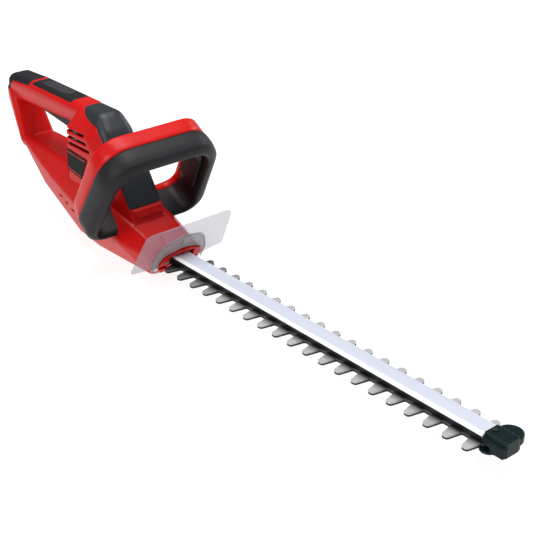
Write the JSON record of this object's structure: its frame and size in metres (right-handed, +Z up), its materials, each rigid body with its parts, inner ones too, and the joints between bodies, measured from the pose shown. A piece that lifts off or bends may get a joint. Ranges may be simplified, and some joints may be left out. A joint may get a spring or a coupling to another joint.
{
  "type": "electric hedge trimmer",
  "caption": "Mains electric hedge trimmer: red body with a D-shaped rear handle, looped front handle with a soft grip, clear hand guard and a long double-edged sliding blade.",
  "frame": {"origin": "underside of the flat base plate under the gearbox, on the centre line, between the motor and gear axes", "axes": "+X along the blade, +Z up, +Y to the left of a user looking along the blade"},
  "size_m": [0.8984, 0.1768, 0.1861],
  "materials": {
    "red_housing": "gloss red moulded shell",
    "soft_cover": "soft-touch dark blue-grey",
    "soft_grip": "satin soft grip",
    "black_plastic": "fine-grained black",
    "label": "gloss black plate, plain",
    "tip_plastic": "gloss black",
    "clear_guard": "clear plastic",
    "bar_aluminium": "brushed along its length",
    "blade_steel": "ground steel",
    "steel_fixing": "zinc-plated",
    "cast_metal": "die-cast",
    "iron_core": "laminated",
    "dark_plastic": "glass-filled",
    "copper": "turned copper",
    "brass_part": "brass",
    "pale_plastic": "natural nylon",
    "felt": "felt"
  },
  "bodies": {
    "body": {"housing_right": "red_housing", "housing_left": "red_housing", "top_cover": "soft_cover", "rear_pad": "soft_grip", "grip_insert": "soft_grip", "label_right": "label", "label_left": "label", "cord_gland": "black_plastic", "cord_clamp": "pale_plastic", "housing_screws": "steel_fixing", "front_handle": "red_housing", "front_grip": "soft_grip", "switch_bar_spring": "steel_fixing", "front_switch": "black_plastic", "trigger_pin": "steel_fixing", "trigger_spring": "steel_fixing", "trigger_switch": "black_plastic", "capacitor": "pale_plastic", "motor_stator": "iron_core", "motor_bridge": "dark_plastic", "motor_top_bearing": "steel_fixing", "motor_lower_bearing": "steel_fixing", "brush_holders": "brass_part", "carbon_brushes": "dark_plastic", "gear_plate": "cast_metal", "gear_stud": "steel_fixing", "gearbox_base": "cast_metal", "base_screws": "steel_fixing", "felt_seal": "felt", "nose_cover": "red_housing", "hand_guard": "clear_guard", "guard_screws": "steel_fixing", "guide_bar": "bar_aluminium", "blade_rail": "black_plastic", "blade_bolts": "steel_fixing", "tip_cap": "tip_plastic", "tip_cap_screw": "steel_fixing"},
    "trigger": {"trigger": "black_plastic"},
    "switch_bar": {"switch_bar": "black_plastic"},
    "rotor": {"rotor_shaft": "steel_fixing", "armature": "iron_core", "commutator": "copper", "cooling_fan": "pale_plastic", "pinion": "steel_fixing"},
    "gear": {"drive_gear": "steel_fixing", "upper_eccentric": "steel_fixing", "lower_eccentric": "steel_fixing"},
    "upper_blade": {"upper_blade": "blade_steel"},
    "lower_blade": {"lower_blade": "blade_steel"}
  },
  "joints": [
    {"name": "trigger_swing", "type": "hinge", "parent": "body", "child": "trigger", "pos_m": [-0.206, 0, 0.157], "axis": [0, -1, 0], "range_deg": [0, 3.5], "stiffness_Nm_per_rad": 0.6, "springref_deg": -5.73, "deforming": ["trigger_spring"]},
    {"name": "switch_bar_slide", "type": "slide", "parent": "body", "child": "switch_bar", "axis": [0.5075, 0, 0.8616], "range_m": [0, 0.003], "stiffness_N_per_m": 700, "springref_m": -0.004, "deforming": ["switch_bar_spring"]},
    {"name": "gear_spin", "type": "hinge", "parent": "body", "child": "gear", "pos_m": [0.003, 0, 0.035], "axis": [0, 0, 1], "continuous": true},
    {"name": "rotor_spin", "type": "hinge", "parent": "body", "child": "rotor", "pos_m": [-0.036, 0, 0.09], "axis": [0, 0, 1], "continuous": true},
    {"name": "upper_blade_slide", "type": "slide", "parent": "body", "child": "upper_blade", "axis": [1, 0, 0], "range_m": [-0.006, 0.006]},
    {"name": "lower_blade_slide", "type": "slide", "parent": "body", "child": "lower_blade", "axis": [1, 0, 0], "range_m": [-0.006, 0.006]}
  ],
  "couplings": [
    {"joint": "gear_spin", "follows": "rotor_spin", "ratio": -0.3},
    {"joint": "lower_blade_slide", "follows": "upper_blade_slide", "ratio": -1}
  ]
}
